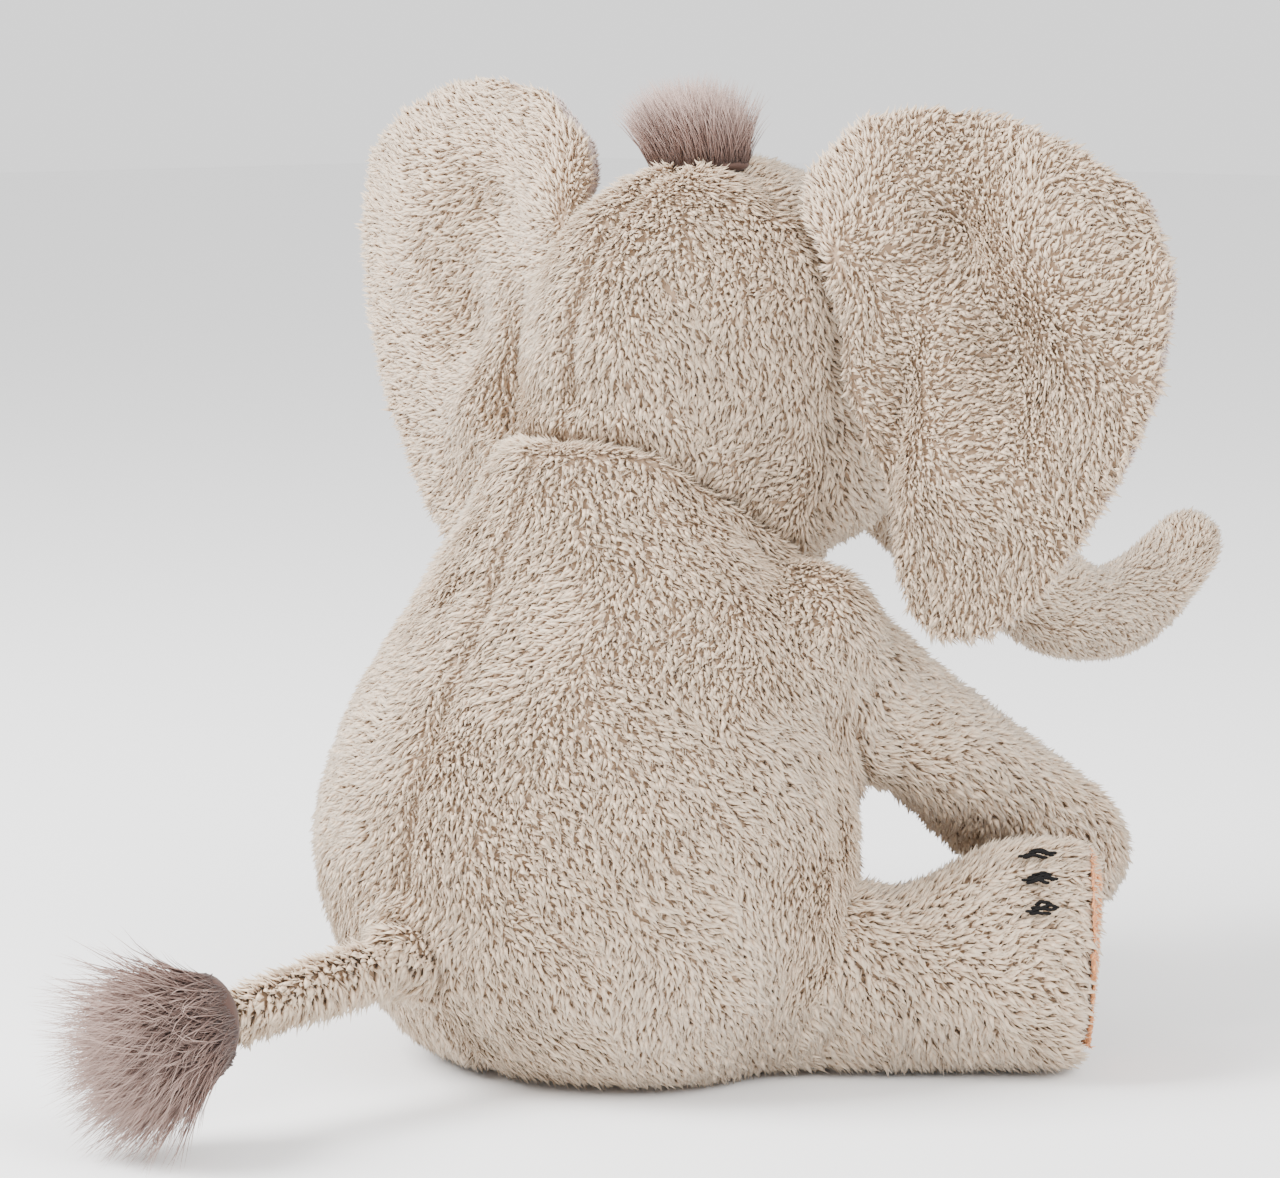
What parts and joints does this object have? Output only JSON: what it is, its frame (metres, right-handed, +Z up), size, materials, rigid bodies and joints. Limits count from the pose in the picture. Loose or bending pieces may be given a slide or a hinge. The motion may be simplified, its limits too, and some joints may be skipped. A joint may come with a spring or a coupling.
{
  "type": "plush elephant toy",
  "caption": "Seated plush elephant with flapping ears, a trunk that lifts, swinging arms and tail, splaying legs and a head that turns.",
  "frame": {"origin": "on the resting plane under the middle of the torso, level with the flat seat", "axes": "+Z up, -Y the way the elephant faces, so its right side is at -X"},
  "size_m": [0.2798, 0.4231, 0.244],
  "materials": {
    "fur": "grey-beige short pile plush",
    "tuft": "mauve-brown long pile",
    "lining": "smooth short plush",
    "pad": "peach short plush",
    "thread": "embroidery thread",
    "stuffing": "loose polyester fibre",
    "bag": "woven bag of pellets",
    "eye": "gloss black",
    "washer": "moulded plastic"
  },
  "bodies": {
    "torso": {"back_panel_left": "fur", "back_panel_right": "fur", "belly_panel": "fur", "seat_panel": "fur", "body_stuffing": "stuffing", "pellet_bag": "bag"},
    "head": {"hood_left": "fur", "hood_right": "fur", "face_left": "fur", "face_right": "fur", "head_stuffing": "stuffing", "eye_left": "eye", "eye_right": "eye", "eye_washer_left": "washer", "eye_washer_right": "washer", "crown_tuft": "tuft"},
    "ear_left": {"ear_left_back": "fur", "ear_left_lining": "lining"},
    "ear_right": {"ear_right_back": "fur", "ear_right_lining": "lining"},
    "trunk": {"trunk_left": "fur", "trunk_right": "fur", "trunk_stuffing": "stuffing"},
    "arm_left": {"arm_left_outer": "fur", "arm_left_inner": "fur", "paw_pad_left": "pad", "arm_left_stuffing": "stuffing"},
    "arm_right": {"arm_right_outer": "fur", "arm_right_inner": "fur", "paw_pad_right": "pad", "arm_right_stuffing": "stuffing"},
    "leg_left": {"leg_left_skin": "fur", "foot_sole_left": "pad", "leg_left_stuffing": "stuffing", "toe_stitch_left_1": "thread", "toe_stitch_left_2": "thread", "toe_stitch_left_3": "thread"},
    "leg_right": {"leg_right_skin": "fur", "foot_sole_right": "pad", "leg_right_stuffing": "stuffing", "toe_stitch_right_1": "thread", "toe_stitch_right_2": "thread", "toe_stitch_right_3": "thread"},
    "tail": {"tail_skin": "fur", "tail_stuffing": "stuffing", "tail_tuft": "tuft"}
  },
  "joints": [
    {"name": "head_turn", "type": "hinge", "parent": "torso", "child": "head", "pos_m": [0, -0.044, 0.158], "axis": [0, 0, 1], "range_deg": [-12, 12]},
    {"name": "ear_left_flap", "type": "hinge", "parent": "head", "child": "ear_left", "pos_m": [0.048, -0.042, 0.182], "axis": [0, 0, -1], "range_deg": [-12, 20]},
    {"name": "ear_right_flap", "type": "hinge", "parent": "head", "child": "ear_right", "pos_m": [-0.048, -0.042, 0.176], "axis": [0, 0, 1], "range_deg": [-12, 20]},
    {"name": "trunk_lift", "type": "hinge", "parent": "head", "child": "trunk", "pos_m": [0, -0.095, 0.163], "axis": [-1, 0, 0], "range_deg": [-10, 14]},
    {"name": "arm_left_swing", "type": "hinge", "parent": "torso", "child": "arm_left", "pos_m": [0.04575, -0.03185, 0.10744], "axis": [-1, 0, 0], "range_deg": [0, 14]},
    {"name": "arm_right_swing", "type": "hinge", "parent": "torso", "child": "arm_right", "pos_m": [-0.04575, -0.03185, 0.10744], "axis": [-1, 0, 0], "range_deg": [0, 14]},
    {"name": "leg_left_splay", "type": "hinge", "parent": "torso", "child": "leg_left", "pos_m": [0.042, -0.02795, 0.0239], "axis": [0, 0, 1], "range_deg": [-2, 10]},
    {"name": "leg_right_splay", "type": "hinge", "parent": "torso", "child": "leg_right", "pos_m": [-0.042, -0.02795, 0.0239], "axis": [0, 0, -1], "range_deg": [-2, 10]},
    {"name": "tail_swing", "type": "hinge", "parent": "torso", "child": "tail", "pos_m": [0, 0.05643, 0.035], "axis": [0, 0, 1], "range_deg": [-22, 22]}
  ]
}
